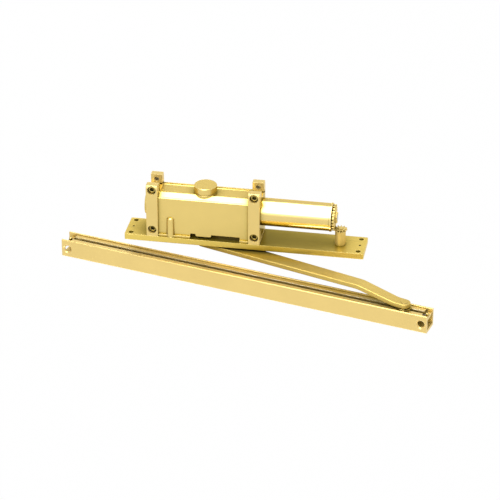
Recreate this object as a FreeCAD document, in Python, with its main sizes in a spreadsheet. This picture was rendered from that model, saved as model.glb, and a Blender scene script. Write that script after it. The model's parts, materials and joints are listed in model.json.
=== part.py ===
"""Concealed overhead door closer: rack-and-pinion body on a head plate, single lever arm and slide track.

Frame: millimetres, origin at the centre of the plate's hole pattern on the plate's top face.
+X runs along the plate towards the spring tube, +Y to the back, +Z up into the frame head.
"""
import FreeCAD
import Part
import math
import os
import re

import Sketcher
from FreeCAD import Placement, Rotation, Vector

# Driving sizes in millimetres and degrees
SIZES = {
    # Head plate
    "plate_length": 355.6,
    "plate_width": 50.8,
    "plate_thick": 9.5,
    "plate_hole_inset": 8.7,
    "plate_row_inset": 7.0,
    "plate_hole_dia": 7.1,
    "plate_sink_dia": 13.0,
    "plate_sink_depth": 3.6,
    "pilot_dia": 3.4,
    "plate_corner": 1.6,
    "plate_edge": 1.4,
    # Cast body and its brackets
    "pinion_offset": 60.0,
    "case_length": 168.8,
    "case_width": 42.8,
    "case_edge": 63.2,
    "crown_rise": 5.0,
    "lug_width": 17.2,
    "lug_height": 82.6,
    "lug_head": 12.2,
    "lug_head_gap": 0.4,
    "saddle_thick": 6.0,
    "lug_foot": 20.2,
    "lug_screw_top": 75.2,
    "lug_screw_low": 11.0,
    "lug_bore_dia": 12.8,
    "lug_bore_depth": 9.2,
    "lug_screw_dia": 6.0,
    "lug_hole_dia": 7.0,
    "lug_slope_high": 4.7,
    "lug_slope_in": 2.5,
    "lug_round": 18.0,
    "lug_edge": 0.8,
    "head_gap": 1.2,
    "head_recess": 4.2,
    "top_bore_depth": 9.2,
    "top_recess": 4.2,
    "socket_floor": 1.4,
    "saddle_key": 4.0,
    "rib_thick": 6.7,
    "rib_top": 79.4,
    "rib_root": 4.0,
    "thread_stop": 2.0,
    "deck_half": 12.6,
    "shoulder_round": 4.9,
    "rear_round": 1.5,
    "rear_high": 66.2,
    "rear_low": 64.2,
    "lip_foot": 63.8,
    "lip_top": 64.6,
    "lip_width": 2.4,
    "front_edge": 1.5,
    "strip_width": 2.0,
    "arch_rise": 1.0,
    "arch_width": 2.2,
    "ledge_out": 2.2,
    "ledge_high": 3.6,
    "window_left": 19.6,
    "window_right": 54.2,
    "window_high": 7.5,
    "tab_width": 23.6,
    "tab_high": 3.9,
    "tab_round": 2.5,
    "valve_boss_offset": 49.0,
    "valve_boss_dia": 13.6,
    "valve_boss_top": 12.4,
    "valve_boss_high": 31.0,
    "valve_boss_edge": 1.5,
    "valve_inset": 2.9,
    "valve_dia": 5.0,
    "valve_length": 18.0,
    "valve_tip": 4.0,
    "valve_tip_dia": 1.2,
    "valve_room": 2.0,
    "valve_slot": 1.0,
    "valve_slot_depth": 1.6,
    "valve_access_dia": 7.0,
    # Cylinder, end plug and spring tube
    "axis_height": 43.0,
    "bore_dia": 34.0,
    "plug_dia": 38.0,
    "plug_out": 4.0,
    "plug_in": 12.0,
    "plug_bevel": 2.0,
    "plug_step": 4.0,
    "plug_key": 10.0,
    "plug_key_depth": 3.0,
    "plug_seal_at": 5.0,
    "seal_depth": 2.0,
    "seal_width": 2.4,
    "tube_dia": 41.0,
    "tube_wall": 1.5,
    "tube_length": 101.0,
    "spigot_length": 12.0,
    "cap_flange_dia": 42.6,
    "cap_flange_thick": 3.0,
    "cap_skirt": 9.0,
    "cap_flange_edge": 0.8,
    # Pinion and piston
    "gear_module": 1.75,
    "gear_teeth": 12,
    "pressure_angle": 25.0,
    "root_share": 1.25,
    "backlash": 0.24,
    "pinion_room": 1.6,
    "tooth_face": 14.0,
    "journal_low_dia": 16.0,
    "journal_top_dia": 14.0,
    "square_flats": 11.0,
    "bush_wall": 2.0,
    "bush_length": 15.0,
    "swing_angle": 110.0,
    "piston_head": 26.0,
    "piston_gap": 0.05,
    "piston_seal_at": 6.0,
    "piston_seal_width": 3.0,
    "check_dia": 8.0,
    "check_length": 10.0,
    "check_hole_dia": 2.4,
    "spring_seat": 4.0,
    "boss_dia": 35.0,
    "boss_top": 69.7,
    "cap_dia": 33.6,
    "cap_height": 10.0,
    "cap_edge": 0.8,
    "cap_spigot": 9.0,
    "cap_seal_at": 3.0,
    "cap_pocket": 4.0,
    "journal_end_gap": 1.0,
    "low_boss_dia": 24.4,
    "lip_seal_low": 1.5,
    "lip_seal_high": 5.0,
    "bush_low_gap": 0.5,
    "shaft_hole_dia": 20.0,
    # Springs
    "spring_wire": 4.2,
    "spring_dia": 31.0,
    "spring_turns": 12,
    "inner_wire": 2.6,
    "inner_dia": 20.0,
    "inner_turns": 17,
    # Spring adjuster
    "ring_tip_dia": 39.0,
    "ring_root_dia": 34.0,
    "ring_teeth": 24,
    "ring_thick": 3.0,
    "ring_gap": 1.0,
    "star_teeth": 12,
    "star_tip_dia": 20.0,
    "star_root_dia": 12.4,
    "star_thick": 2.4,
    "star_reach": 2.4,
    "finger_width": 1.5,
    "finger_taper": 0.2,
    "slot_width": 3.1,
    "adjust_dia": 10.0,
    "adjust_shaft_dia": 8.0,
    "nut_thick": 9.0,
    "collar_out": 3.0,
    "screw_end": 3.0,
    "locknut_flats": 16.0,
    "locknut_thick": 2.8,
    "star_shaft_end": 1.2,
    "key_depth": 8.0,
    "post_dia": 15.8,
    "post_gap": 0.3,
    "hex_flats": 5.0,
    # Lever arm
    "arm_length": 328.0,
    "arm_angle": 19.7,
    "arm_root_width": 27.0,
    "arm_end_width": 17.6,
    "arm_thick": 7.0,
    "arm_gap": 2.0,
    "joggle_start_back": 70.0,
    "joggle_end_back": 13.0,
    "joggle_drop": 12.0,
    "joggle_round": 40.0,
    "joggle_lead": 1.0,
    "arm_edge": 1.0,
    "arm_screw_dia": 8.0,
    "arm_screw_reach": 22.0,
    "arm_screw_head_dia": 13.0,
    "arm_screw_head": 2.6,
    "arm_screw_bevel": 0.6,
    "arm_screw_key": 5.0,
    "arm_screw_key_depth": 1.8,
    "arm_washer_dia": 20.0,
    "arm_washer_thick": 1.0,
    "stud_dia": 5.8,
    "stud_head_dia": 9.0,
    "stud_head_thick": 2.0,
    "rivet_dia": 10.0,
    "rivet_depth": 2.5,
    "stud_proud": 0.4,
    # Track and what runs in it
    "track_angle": 12.95,
    "track_length": 578.3,
    "track_width": 28.7,
    "track_height": 27.4,
    "track_wall": 3.2,
    "track_edge": 1.3,
    "rim_edge": 0.8,
    "track_gap": 1.5,
    "ledge_depth": 2.0,
    "ledge_thick": 3.0,
    "track_slot": 6.4,
    "floor_thick": 4.0,
    "roller_from_end": 39.5,
    "rail_back_left": 13.8,
    "rail_back_right": 10.0,
    "end_hole_inset": 9.4,
    "end_hole_depth": 14.5,
    "end_hole_dia": 10.0,
    "end_sink_dia": 14.2,
    "end_sink_depth": 2.1,
    "screw_hole_dia": 6.5,
    "glide_dia": 21.0,
    "roller_high": 8.0,
    "roller_gap": 0.5,
    "roller_play": 0.4,
    "retainer_dia": 12.0,
    "retainer_thick": 1.5,
    "stop_length": 6.0,
    "stop_back": 2.7,
    "stop_depth": 5.5,
    "stop_high": 3.0,
    "stop_screw_dia": 3.0,
    "stop_head_dia": 5.0,
    "stop_head_high": 4.0,
    "stop_head_bevel": 0.6,
    "stop_key": 2.4,
    "stop_key_depth": 1.2,
    "clamp_thick": 1.5,
    "clamp_over": 3.0,
    "bumper_dia": 3.4,
    "bumper_length": 3.4,
    # Clearances
    "run_gap": 0.05,
    "side_gap": 0.3,
}

# Sizes and places that follow from the driving ones
DERIVED = {
    "plate_hole_span": "plate_length - 2 * plate_hole_inset",
    "plate_hole_rows": "plate_width - 2 * plate_row_inset",
    "pinion_x": "0 - pinion_offset",
    "case_left": "pinion_x - case_length / 2",
    "case_right": "pinion_x + case_length / 2",
    "face_y": "case_width / 2",
    "lug_y": "plate_width / 2",
    "head_y": "lug_y - lug_head",
    "crown_top": "case_edge + crown_rise",
    "head_low": "crown_top + lug_head_gap",
    "lug_left_x": "case_left + lug_width / 2",
    "lug_right_x": "case_right - lug_width / 2",
    "valve_x": "pinion_x - valve_boss_offset",
    "valve_y": "face_y - valve_inset",
    "tube_end": "case_right + tube_length",
    "cap_end": "tube_end + cap_flange_thick",
    "ring_left": "cap_end + ring_gap",
    "ring_right": "ring_left + ring_thick",
    "tube_bore": "tube_dia - 2 * tube_wall",
    "spring_back": "tube_end - cap_skirt - side_gap",
    "nut_left": "spring_back - nut_thick",
    "pitch_radius": "gear_module * gear_teeth / 2",
    "tip_radius": "pitch_radius + gear_module",
    "rack_root": "pitch_radius + root_share * gear_module",
    "gear_root": "pitch_radius - root_share * gear_module",
    "piston_travel": "pitch_radius * swing_angle * pi / 180",
    "window_reach": "tip_radius + side_gap",
    "piston_window_left": "pinion_x - window_reach - piston_travel",
    "piston_window_right": "pinion_x + window_reach",
    "piston_left": "piston_window_left - piston_head",
    "piston_right": "piston_window_right + piston_head",
    "piston_dia": "bore_dia - 2 * piston_gap",
    "plug_nose": "piston_left - side_gap",
    "cap_spigot_dia": "2 * (tip_radius + pinion_room)",
    "bush_low_dia": "journal_low_dia + 2 * bush_wall",
    "bush_top_dia": "journal_top_dia + 2 * bush_wall",
    "plate_low": "0 - plate_thick",
    "arm_top": "plate_low - arm_gap",
    "arm_low": "arm_top - arm_thick",
    "end_top": "arm_top - joggle_drop",
    "end_low": "end_top - arm_thick",
    "joggle_start": "arm_length - joggle_start_back",
    "joggle_end": "arm_length - joggle_end_back",
    "roller_x": "pinion_x + arm_length * cos(arm_angle)",
    "roller_y": "0 - arm_length * sin(arm_angle)",
    "rim": "end_low - track_gap",
    "ledge_top": "rim - ledge_depth",
    "ledge_low": "ledge_top - ledge_thick",
    "glide_top": "end_low - side_gap",
    "glide_low": "ledge_top + side_gap",
    "roller_top": "ledge_low - roller_gap",
    "roller_low": "roller_top - roller_high",
    "roller_dia": "track_inside - 2 * roller_play",
    "retainer_top": "roller_low - run_gap",
    "retainer_low": "retainer_top - retainer_thick",
    "stud_low": "retainer_low - side_gap - stud_head_thick",
    "track_right": "roller_from_end",
    "track_left": "roller_from_end - track_length",
    "rail_left": "track_left + rail_back_left",
    "rail_right": "track_right - rail_back_right",
    "track_inside": "track_width - 2 * track_wall",
    "washer_low": "arm_low - arm_washer_thick",
    "screw_start": "case_right + spigot_length",
    "star_x": "ring_right - star_reach + star_tip_dia / 2",
    "star_low": "axis_height - ring_tip_dia / 2 - side_gap",
    "post_top": "star_low - post_gap",
}

doc = FreeCAD.newDocument("door_closer")
sheet = doc.addObject("Spreadsheet::Sheet", "sizes")
for row, (alias, size) in enumerate(SIZES.items(), start=1):
    sheet.set(f"A{row}", alias)
    sheet.set(f"B{row}", str(size))
    sheet.setAlias(f"B{row}", alias)
doc.recompute()

UP = Rotation()
ALONG_X = Rotation(Vector(0, 1, 0), 90)
ALONG_Y = Rotation(Vector(1, 0, 0), -90)
# How close a point lies to a plane that it is on
TOUCH = 0.01
nodes = []


def expand(text):
    """Writes a size formula out in the sheet's own cells."""
    def swap(match):
        word = match.group()
        if word in DERIVED:
            return "(" + expand(DERIVED[word]) + ")"
        return "sizes." + word if word in SIZES else word
    return re.sub(r"[a-z][a-z_]*", swap, text)


def number(text):
    """Value of a size formula."""
    return float(sheet.evalExpression(expand(text)))


def bind(item, **formulas):
    """Ties properties of an object to size formulas."""
    for name, text in formulas.items():
        item.setExpression(name, expand(text))


def place(item, x="0", y="0", z="0", rotation=UP):
    """Puts an object at a place given by size formulas."""
    item.Placement = Placement(Vector(), rotation)
    for name, text in zip("xyz", (x, y, z)):
        item.setExpression(f"Placement.Base.{name}", expand(text))
    return item


def turn_clockwise(item, angle):
    """Turns a placed object about the vertical, clockwise from above, by a size formula."""
    item.Placement = Placement(item.Placement.Base, Rotation(Vector(0, 0, -1), 1))
    item.setExpression("Placement.Rotation.Angle", expand(angle))
    return item


def in_arm_frame(item):
    """Carries a shape drawn along +X from the pivot to the lever arm's place."""
    return turn_clockwise(place(item, x="pinion_x"), "arm_angle")


def in_track_frame(item):
    """Carries a shape drawn along +X about the roller to the track's place."""
    return turn_clockwise(place(item, x="roller_x", y="roller_y", z="rim"), "track_angle")


def node(item, label):
    """Names a finished sub-part."""
    item.Label = label
    nodes.append(item)
    return item


def box(x, y, z):
    """Block between pairs of size formulas."""
    item = doc.addObject("Part::Box", "block")
    bind(item, Length=f"({x[1]}) - ({x[0]})", Width=f"({y[1]}) - ({y[0]})", Height=f"({z[1]}) - ({z[0]})")
    return place(item, x[0], y[0], z[0])


def cylinder(dia, length, x="0", y="0", z="0", rotation=UP):
    """Round bar of a diameter and a length from its starting point."""
    item = doc.addObject("Part::Cylinder", "bar")
    bind(item, Radius=f"({dia}) / 2", Height=length)
    return place(item, x, y, z, rotation)


def hexagon(flats, length, x, y, z, rotation=UP):
    """Six-sided bar of a width across its flats."""
    item = doc.addObject("Part::Prism", "hexagon")
    item.Polygon = 6
    bind(item, Circumradius=f"({flats}) / sqrt(3)", Height=length)
    return place(item, x, y, z, rotation)


def fuse(*items):
    """One solid from several that touch."""
    item = doc.addObject("Part::MultiFuse", "joined")
    item.Shapes = list(items)
    item.Refine = True
    return item


def cut(base, *tools):
    """What is left of a solid after others are taken from it."""
    item = doc.addObject("Part::Cut", "cut")
    item.Base = base
    item.Tool = tools[0] if len(tools) == 1 else fuse(*tools)
    return item


def common(first, second):
    """What two solids share."""
    item = doc.addObject("Part::Common", "shared")
    item.Base = first
    item.Tool = second
    return item


def group(*items):
    """Several loose solids that make one sub-part."""
    item = doc.addObject("Part::Compound", "set")
    item.Links = list(items)
    return item


def round_edges(base, radius, chosen):
    """Rounds the edges of a solid that a test picks by their middle points."""
    doc.recompute()
    item = doc.addObject("Part::Fillet", "rounded")
    item.Base = base
    size = number(radius)
    edges = enumerate(base.Shape.Edges, start=1)
    item.Edges = [(place_in_list, size, size) for place_in_list, edge in edges if chosen(edge)]
    return item


def is_upright(edge):
    """Whether an edge stands along Z."""
    return abs(edge.tangentAt(edge.FirstParameter).z) > 0.9


def sketch_outline(body, plane_role, corners):
    """Closed outline through corners given as pairs of size formulas."""
    plane = next(f for f in body.Origin.OriginFeatures if f.Role == plane_role)
    sketch = body.newObject("Sketcher::SketchObject", "outline")
    sketch.AttachmentSupport = [(plane, "")]
    sketch.MapMode = "FlatFace"
    points = [Vector(number(a), number(b), 0) for a, b in corners]
    count = len(points)
    for i in range(count):
        sketch.addGeometry(Part.LineSegment(points[i], points[(i + 1) % count]), False)
    for i in range(count):
        sketch.addConstraint(Sketcher.Constraint("Coincident", i, 2, (i + 1) % count, 1))
    for i, pair in enumerate(corners):
        for kind, axis, text, size in zip(("DistanceX", "DistanceY"), (-2, -1), pair, points[i]):
            if text == "0":
                sketch.addConstraint(Sketcher.Constraint("PointOnObject", i, 1, axis))
            else:
                made = sketch.addConstraint(Sketcher.Constraint(kind, -1, 1, i, 1, size))
                sketch.setExpression(f"Constraints[{made}]", expand(text))
    return sketch


def extruded(plane_role, corners, length, centred=False, base="0"):
    """Prism of an outline: along +X from YZ, along +Z from XY, both ways in Y from XZ."""
    body = doc.addObject("PartDesign::Body", "prism")
    sketch = sketch_outline(body, plane_role, corners)
    sketch.setExpression("AttachmentOffset.Base.z", expand(base))
    pad = body.newObject("PartDesign::Pad", "pad")
    pad.Profile = sketch
    pad.Midplane = centred
    bind(pad, Length=length)
    sketch.Visibility = False
    return body


def turned(corners, x="0", y="0", z="0", rotation=UP):
    """Lathe-turned solid from corners (radius, station along its axis)."""
    body = doc.addObject("PartDesign::Body", "turning")
    sketch = sketch_outline(body, "XZ_Plane", corners)
    spin = body.newObject("PartDesign::Revolution", "spin")
    spin.Profile = sketch
    spin.ReferenceAxis = (sketch, ["V_Axis"])
    spin.Angle = 360
    return place(body, x, y, z, rotation)


def ring(outer, inner, length, x="0", y="0", z="0", rotation=UP):
    """Plain bush or washer between two diameters."""
    corners = [
        (f"({inner}) / 2", "0"), (f"({outer}) / 2", "0"),
        (f"({outer}) / 2", length), (f"({inner}) / 2", length),
    ]
    return turned(corners, x, y, z, rotation)


def solid_feature(shape, x="0", y="0", z="0", rotation=UP):
    """Sub-part whose shape is computed, placed by size formulas."""
    item = doc.addObject("Part::Feature", "computed")
    item.Shape = shape
    return place(item, x, y, z, rotation)


# Head plate and brackets

def make_plate():
    """Flat head plate with countersunk corner holes, shaft hole and adjuster holes."""
    blank = extruded("XY_Plane", [
        ("0 - plate_length / 2", "0 - plate_width / 2"), ("plate_length / 2", "0 - plate_width / 2"),
        ("plate_length / 2", "plate_width / 2"), ("0 - plate_length / 2", "plate_width / 2"),
    ], "plate_thick")
    place(blank, z="plate_low")
    upright = round_edges(blank, "plate_corner", is_upright)

    def on_lower_rim(edge):
        return abs(edge.CenterOfMass.z - number("plate_low")) < TOUCH

    slab = round_edges(upright, "plate_edge", on_lower_rim)
    tools = []
    for x in ("0 - plate_hole_span / 2", "plate_hole_span / 2"):
        for y in ("0 - plate_hole_rows / 2", "plate_hole_rows / 2"):
            tools.append(cylinder("plate_hole_dia", "plate_thick", x, y, "plate_low"))
            sink = doc.addObject("Part::Cone", "countersink")
            bind(sink, Radius1="plate_sink_dia / 2", Radius2="plate_hole_dia / 2", Height="plate_sink_depth")
            tools.append(place(sink, x, y, "plate_low"))
        tools.append(cylinder("pilot_dia", "plate_thick", x, "0", "plate_low"))
    tools.append(cylinder("shaft_hole_dia", "plate_thick", "pinion_x", "0", "plate_low"))
    tools.append(cylinder("adjust_shaft_dia + 4 * run_gap", "plate_thick", "star_x", "0", "plate_low"))
    for y in ("0 - valve_y", "valve_y"):
        tools.append(cylinder("valve_access_dia", "plate_thick", "valve_x", y, "plate_low"))
    for x in ("lug_left_x", "lug_right_x"):
        tools.append(cylinder("lug_screw_dia", "plate_thick", x, "0", "plate_low"))
        sink = doc.addObject("Part::Cone", "countersink")
        bind(sink, Radius1="lug_screw_dia", Radius2="lug_screw_dia / 2", Height="lug_screw_dia / 2")
        tools.append(place(sink, x, "0", "plate_low"))
    node(cut(slab, *tools), "main_plate")


def make_bracket(label, left_edge, centre):
    """Forged yoke: front and rear lugs with thick heads and feet, joined by a saddle."""
    slope_low = "lug_height - lug_slope_high"
    half = [
        ("lug_y", "0"), ("lug_y", slope_low), ("lug_y - lug_slope_in", "lug_height"),
        ("head_y", "lug_height"), ("head_y", "head_low"),
        ("face_y", "head_low"), ("face_y", "lug_foot"), ("head_y", "lug_foot"), ("head_y", "saddle_thick"),
    ]
    mirrored = [(f"0 - ({y})", z) for y, z in reversed(half)]
    yoke = place(extruded("YZ_Plane", half + mirrored, "lug_width"), x=left_edge)

    def on_outer_face(edge):
        return abs(abs(edge.CenterOfMass.y) - number("lug_y")) < TOUCH

    def on_slope_foot(edge):
        return on_outer_face(edge) and abs(edge.CenterOfMass.z - number(slope_low)) < TOUCH

    def on_outer_side(edge):
        return on_outer_face(edge) and is_upright(edge)

    eased = round_edges(yoke, "lug_round", on_slope_foot)
    rounded = round_edges(eased, "lug_edge", on_outer_side)
    tools = []
    for z, depth in (("lug_screw_top", "top_bore_depth"), ("lug_screw_low", "lug_bore_depth")):
        tools.append(cylinder("lug_bore_dia", depth, centre, "0 - lug_y", z, ALONG_Y))
        tools.append(cylinder("lug_screw_dia + 2 * side_gap", "lug_head", centre, "0 - lug_y", z, ALONG_Y))
    tools.append(cylinder("lug_hole_dia", "lug_head", centre, "head_y", "lug_screw_top", ALONG_Y))
    tools.append(cylinder("lug_screw_dia", "saddle_thick", centre, "0", "0"))
    node(cut(rounded, *tools), label)


def make_bracket_screws():
    """Socket-head screws that hold the cast body in the brackets."""
    screws = []
    wide, thin = "lug_bore_dia / 2 - head_gap", "lug_screw_dia / 2"
    for x in ("lug_left_x", "lug_right_x"):
        for z, depth, recess in (("lug_screw_top", "top_bore_depth", "top_recess"),
                                 ("lug_screw_low", "lug_bore_depth", "head_recess")):
            head = f"{depth} - {recess}"
            end = f"lug_head + rib_thick - thread_stop - {recess}"
            blank = turned([
                ("0", "0"), (wide, "0"), (wide, head), (thin, head), (thin, end), ("0", end),
            ], x, f"{recess} - lug_y", z, ALONG_Y)
            socket = hexagon("lug_screw_dia", f"{head} - socket_floor", x, f"{recess} - lug_y", z, ALONG_Y)
            screws.append(cut(blank, socket))
    node(group(*screws), "bracket_screws")


def make_saddle_screws():
    """Countersunk screws that hold the brackets on the plate, driven from below."""
    screws = []
    stem, end = "lug_screw_dia / 2 - run_gap", "plate_thick + saddle_thick - run_gap"
    for x in ("lug_left_x", "lug_right_x"):
        blank = turned([
            ("0", "0"), ("lug_screw_dia - run_gap", "0"), (stem, "lug_screw_dia / 2"), (stem, end),
            ("0", end),
        ], x, "0", "plate_low")
        screws.append(cut(blank, hexagon("saddle_key", "lug_screw_dia / 2", x, "0", "plate_low")))
    node(group(*screws), "saddle_screws")


# Cast body

def crowned_bar(left, length, rise="0"):
    """Upper half of the body: raised deck between a front slope with a flat strip and a rear slope."""
    half, top = f"(deck_half + {rise})", f"crown_top + {rise}"
    bar = place(extruded("YZ_Plane", [
        ("0 - face_y", "axis_height"), ("0 - face_y", "case_edge"), ("strip_width - face_y", "case_edge"),
        (f"0 - {half}", top),
        (half, top), (half, "rear_high"), ("face_y", "rear_low"), ("face_y", "axis_height"),
    ], length), x=left)

    def lies_at(y, z):
        def chosen(edge):
            middle = edge.CenterOfMass
            runs_along = edge.BoundBox.XLength > TOUCH
            return runs_along and abs(middle.y - number(y)) < TOUCH and abs(middle.z - number(z)) < TOUCH
        return chosen

    shoulder = round_edges(bar, "shoulder_round", lies_at(f"0 - {half}", top))
    crown = round_edges(shoulder, "rear_round", lies_at(half, top))
    return round_edges(crown, "front_edge", lies_at("0 - face_y", "case_edge"))


def rear_panel(left, right):
    """Thicker rear wall between the brackets, with a low lip along its top."""
    return place(extruded("YZ_Plane", [
        ("face_y", "0"), ("lug_y", "0"), ("lug_y", "lip_top"), ("lug_y - lip_width", "lip_top"),
        ("lug_y - lip_width", "lip_foot"), ("face_y", "rear_low"),
    ], f"({right}) - ({left})"), x=left)


def window_tab():
    """Web that hangs from the window's top in front of and behind the lower boss."""
    low = "window_high - tab_high"
    web = box(("pinion_x - tab_width / 2", "pinion_x + tab_width / 2"), ("0 - face_y", "face_y"),
              (low, "window_high"))

    def on_lower_side(edge):
        lies_low = abs(edge.CenterOfMass.z - number(low)) < TOUCH
        return lies_low and edge.BoundBox.YLength > number("face_y")

    return round_edges(web, "tab_round", on_lower_side)


def make_casting():
    """Crowned body block with necks for the brackets, pinion bosses, valve posts and a tube spigot."""
    inner = ("case_left + lug_width", "case_right - lug_width")
    parts = [
        box(("case_left", "case_right"), ("0 - face_y", "face_y"), ("0", "axis_height")),
        crowned_bar("case_left", "case_length"),
        rear_panel(*inner),
    ]
    for left in (inner[0], f"{inner[1]} - arch_width"):
        parts.append(crowned_bar(left, "arch_width", "arch_rise"))
    parts.append(cylinder("boss_dia", "boss_top - axis_height", "pinion_x", "0", "axis_height"))
    spigot = "tube_bore - 4 * run_gap"
    parts.append(cylinder(spigot, "spigot_length", "case_right", "0", "axis_height", ALONG_X))
    parts.append(box(inner, ("0 - face_y - ledge_out", "face_y + ledge_out"), ("0", "ledge_high")))
    for left in ("case_left", "case_right - lug_width"):
        sides = (left, f"{left} + lug_width")
        parts.append(box(sides, ("0 - head_y", "rib_thick - head_y"), ("case_edge - rib_root", "rib_top")))
    for y in ("0 - valve_y", "valve_y"):
        parts.append(turned([
            ("0", "0"), ("valve_boss_dia / 2", "0"),
            ("valve_boss_top / 2", "valve_boss_high - valve_boss_edge"),
            ("valve_boss_top / 2 - valve_boss_edge", "valve_boss_high"), ("0", "valve_boss_high"),
        ], "valve_x", y, "0"))
    tools = [
        cylinder("bore_dia", "case_length + spigot_length", "case_left", "0", "axis_height", ALONG_X),
        cylinder("cap_spigot_dia", "boss_top - axis_height", "pinion_x", "0", "axis_height"),
    ]
    window = box(
        ("pinion_x - window_left", "pinion_x + window_right"),
        ("0 - face_y - 2 * ledge_out", "face_y + 2 * ledge_out"), ("0", "window_high"),
    )
    tools.append(cut(window, cylinder("low_boss_dia", "window_high", "pinion_x", "0", "0"), window_tab()))
    tools.append(cylinder("bush_low_dia + 2 * run_gap", "axis_height", "pinion_x", "0", "0"))
    for left in ("case_left", "case_right - lug_width"):
        sides = (left, f"{left} + lug_width")
        tools.append(box(sides, ("0 - face_y", "face_y"), ("0", "saddle_thick")))
        tools.append(box(sides, ("0 - face_y", "0 - head_y"), ("0", "lug_foot")))
        tools.append(box(sides, ("head_y", "face_y"), ("0", "lug_foot")))
    for x in ("lug_left_x", "lug_right_x"):
        for z in ("lug_screw_top", "lug_screw_low"):
            tools.append(cylinder("lug_screw_dia + 2 * run_gap", "rib_thick", x, "0 - head_y", z, ALONG_Y))
    for y in ("0 - valve_y", "valve_y"):
        depth = "valve_length + valve_tip + valve_room"
        tools.append(cylinder("valve_dia + 2 * run_gap", depth, "valve_x", y, "0"))
    node(cut(fuse(*parts), *tools), "body_casting")


def make_valves():
    """Screw-in metering valves, one for the closing sweep and one for the latch."""
    for label, y in (("sweep_valve", "0 - valve_y"), ("latch_valve", "valve_y")):
        blank = turned([
            ("0", "side_gap"), ("valve_dia / 2", "side_gap"), ("valve_dia / 2", "valve_length"),
            ("valve_tip_dia / 2", "valve_length + valve_tip"), ("0", "valve_length + valve_tip"),
        ], "valve_x", y, "0")
        slot = box(
            ("valve_x - valve_slot / 2", "valve_x + valve_slot / 2"),
            (f"{y} - valve_dia", f"{y} + valve_dia"), ("side_gap", "side_gap + valve_slot_depth"),
        )
        node(cut(blank, slot), label)


def make_end_plug():
    """Threaded plug that closes the cylinder, with its seal ring."""
    wall, floor = "bore_dia / 2 - run_gap", "bore_dia / 2 - seal_depth"
    blank = turned([
        ("0", "0 - plug_out"), ("plug_dia / 2 - plug_bevel", "0 - plug_out"),
        ("plug_dia / 2", "plug_bevel - plug_out"), ("plug_dia / 2", "0"), (wall, "0"), (wall, "plug_seal_at"),
        (floor, "plug_seal_at"), (floor, "plug_seal_at + seal_width"), (wall, "plug_seal_at + seal_width"),
        (wall, "plug_in"), ("bore_dia / 2 - plug_step", "plug_in"),
        ("bore_dia / 2 - plug_step", "plug_nose - case_left"), ("0", "plug_nose - case_left"),
    ], "case_left", "0", "axis_height", ALONG_X)
    key = hexagon("plug_key", "plug_key_depth", "case_left - plug_out", "0", "axis_height", ALONG_X)
    node(cut(blank, key), "end_plug")
    seal = ring("bore_dia - 2 * run_gap", "bore_dia - 2 * seal_depth + 2 * run_gap",
                "seal_width - 2 * run_gap", "case_left + plug_seal_at + run_gap", "0", "axis_height", ALONG_X)
    node(seal, "end_plug_seal")


def make_pinion_cap():
    """Screwed cap over the pinion, carrying the upper bearing, with its seal ring."""
    wall, floor = "cap_spigot_dia / 2 - run_gap", "cap_spigot_dia / 2 - seal_depth"
    pocket = "bush_top_dia / 2 + run_gap"
    blank = turned([
        ("0", "cap_height"), ("cap_dia / 2 - cap_edge", "cap_height"),
        ("cap_dia / 2", "cap_height - cap_edge"), ("cap_dia / 2", "0"), (wall, "0"),
        (wall, "0 - cap_seal_at"), (floor, "0 - cap_seal_at"),
        (floor, "0 - cap_seal_at - seal_width"), (wall, "0 - cap_seal_at - seal_width"),
        (wall, "0 - cap_spigot"), (pocket, "0 - cap_spigot"), (pocket, "cap_pocket"), ("0", "cap_pocket"),
    ], "pinion_x", "0", "boss_top")
    node(blank, "pinion_cap")
    seal = ring("cap_spigot_dia - 2 * run_gap", "cap_spigot_dia - 2 * seal_depth + 2 * run_gap",
                "seal_width - 2 * run_gap", "pinion_x", "0", "boss_top - cap_seal_at - seal_width + run_gap")
    node(seal, "cap_seal")
    bush = ring("bush_top_dia", "journal_top_dia + 2 * run_gap", "cap_spigot + cap_pocket - run_gap",
                "pinion_x", "0", "boss_top - cap_spigot")
    node(bush, "upper_bearing")


def make_lower_bearing():
    """Plain bush and lip seal around the pinion where it leaves the body."""
    bush = ring("bush_low_dia", "journal_low_dia + 2 * run_gap", "bush_length", "pinion_x", "0",
                "lip_seal_low + lip_seal_high + bush_low_gap")
    node(bush, "lower_bearing")
    seal = ring("bush_low_dia", "journal_low_dia + 2 * run_gap", "lip_seal_high", "pinion_x", "0",
                "lip_seal_low")
    node(seal, "pinion_seal")


# Pinion, piston and springs

def involute(angle):
    """Flare of an involute at a pressure angle."""
    return math.tan(angle) - angle


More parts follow.
